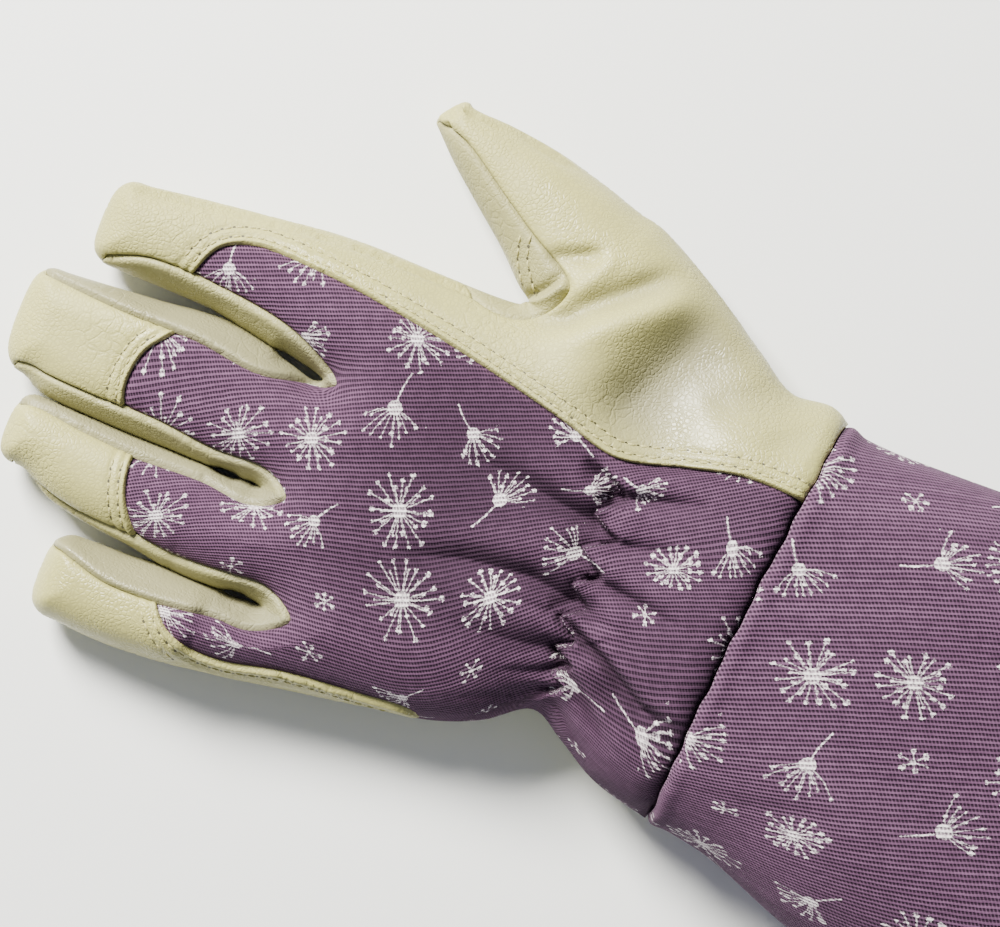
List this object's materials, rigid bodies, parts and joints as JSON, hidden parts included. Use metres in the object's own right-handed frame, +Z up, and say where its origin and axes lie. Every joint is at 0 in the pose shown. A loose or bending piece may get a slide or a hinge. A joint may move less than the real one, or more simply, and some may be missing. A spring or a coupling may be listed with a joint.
{
  "type": "gardening glove",
  "caption": "Left-hand gardening glove with leather palm, thumb and finger tips, printed fabric back gathered at the wrist, and a long flared fabric gauntlet.",
  "frame": {"origin": "on the flat underside of the palm, where the glove rests", "axes": "+X from the finger tips to the gauntlet's mouth, +Y towards the thumb, +Z up through the back of the hand"},
  "size_m": [0.3753, 0.187, 0.0556],
  "materials": {
    "cream_leather": "pebbled grain, semi-gloss",
    "printed_fabric": "ribbed cotton with a pale seed-head print"
  },
  "bodies": {
    "root": {"back_fabric": "printed_fabric", "cuff": "printed_fabric", "side_leather": "cream_leather", "middle_tip": "cream_leather", "ring_tip": "cream_leather", "little_side": "cream_leather", "palm": "cream_leather", "thumb_front": "cream_leather", "fourchette_1": "cream_leather", "fourchette_2": "cream_leather", "fourchette_3": "cream_leather"}
  },
  "joints": []
}
